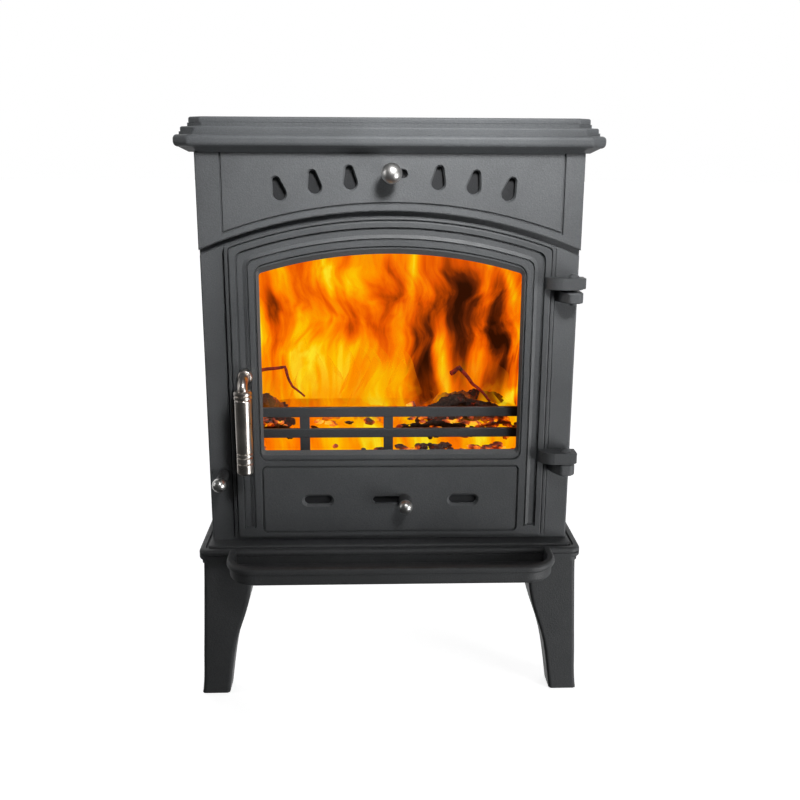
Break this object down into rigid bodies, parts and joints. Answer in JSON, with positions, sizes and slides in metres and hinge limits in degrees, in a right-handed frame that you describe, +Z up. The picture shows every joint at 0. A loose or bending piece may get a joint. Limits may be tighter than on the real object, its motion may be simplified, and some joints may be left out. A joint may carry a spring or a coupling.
{
  "type": "wood burning stove",
  "caption": "Free-standing cast-iron wood burning stove with an arched glass door, ash lip, air sliders, riddling knob and four curved legs.",
  "frame": {"origin": "on the floor, in the middle of the bounding box", "axes": "+Z up, the door faces -Y, +X is to the right of someone facing the door"},
  "size_m": [0.53, 0.5, 0.766],
  "materials": {
    "cast_iron_matt": "matt stove paint on cast iron",
    "cast_iron_inner": "sooty unpainted cast iron",
    "firebrick": "pale fire board, sooted",
    "rope": "woven glass-fibre rope",
    "glass": "heat-proof ceramic glass",
    "polished_nickel": "polished",
    "satin_steel": "satin",
    "black_steel": "matt black sheet steel"
  },
  "bodies": {
    "stove_body": {"base_plate": "cast_iron_matt", "ash_lip": "cast_iron_matt", "leg_bolts": "black_steel", "lip_bolts": "black_steel", "front_plate": "cast_iron_matt", "right_side_plate": "cast_iron_matt", "left_side_plate": "cast_iron_matt", "back_plate": "cast_iron_matt", "flue_collar": "cast_iron_matt", "collar_bolts": "black_steel", "top_plate": "cast_iron_matt", "blanking_plate": "cast_iron_matt", "tie_rods": "satin_steel", "grate_frame": "cast_iron_inner", "right_liner": "firebrick", "left_liner": "firebrick", "rear_liner": "firebrick", "baffle_plate": "cast_iron_inner", "log_guard": "cast_iron_inner", "ash_pan": "black_steel", "top_air_guides": "black_steel", "hinge_pins": "cast_iron_matt", "hinge_washer": "satin_steel", "leg_front_right": "cast_iron_matt", "leg_front_left": "cast_iron_matt", "leg_rear_right": "cast_iron_matt", "leg_rear_left": "cast_iron_matt"},
    "door_body": {"door": "cast_iron_matt", "door_rope": "rope", "door_glass": "glass", "glass_gasket": "rope", "glass_clips": "satin_steel", "clip_screws": "satin_steel", "low_air_guides": "black_steel"},
    "handle_body": {"handle_spindle": "polished_nickel", "handle_elbow": "polished_nickel", "handle_grip": "polished_nickel", "latch_cam": "satin_steel", "spindle_nut": "satin_steel"},
    "low_air_body": {"low_air_slider": "black_steel", "low_air_ferrule": "black_steel", "low_air_knob": "polished_nickel"},
    "top_air_body": {"top_air_slider": "black_steel", "top_air_knob": "polished_nickel"},
    "riddler_body": {"riddling_rod": "satin_steel", "riddling_ferrule": "black_steel", "riddling_knob": "polished_nickel", "riddling_grate": "cast_iron_inner"}
  },
  "joints": [
    {"name": "door_hinge", "type": "hinge", "parent": "stove_body", "child": "door_body", "pos_m": [0.23, -0.169, 0.444], "axis": [0, 0, 1], "range_deg": [0, 110]},
    {"name": "handle_turn", "type": "hinge", "parent": "door_body", "child": "handle_body", "pos_m": [-0.1862, -0.17, 0.4467], "axis": [0, 1, 0], "range_deg": [0, 90]},
    {"name": "low_air_slide", "type": "slide", "parent": "door_body", "child": "low_air_body", "axis": [1, 0, 0], "range_m": [-0.038, 0]},
    {"name": "top_air_slide", "type": "slide", "parent": "stove_body", "child": "top_air_body", "axis": [1, 0, 0], "range_m": [0, 0.0155]},
    {"name": "riddler_pull", "type": "slide", "parent": "stove_body", "child": "riddler_body", "axis": [0, -1, 0], "range_m": [0, 0.025]}
  ]
}
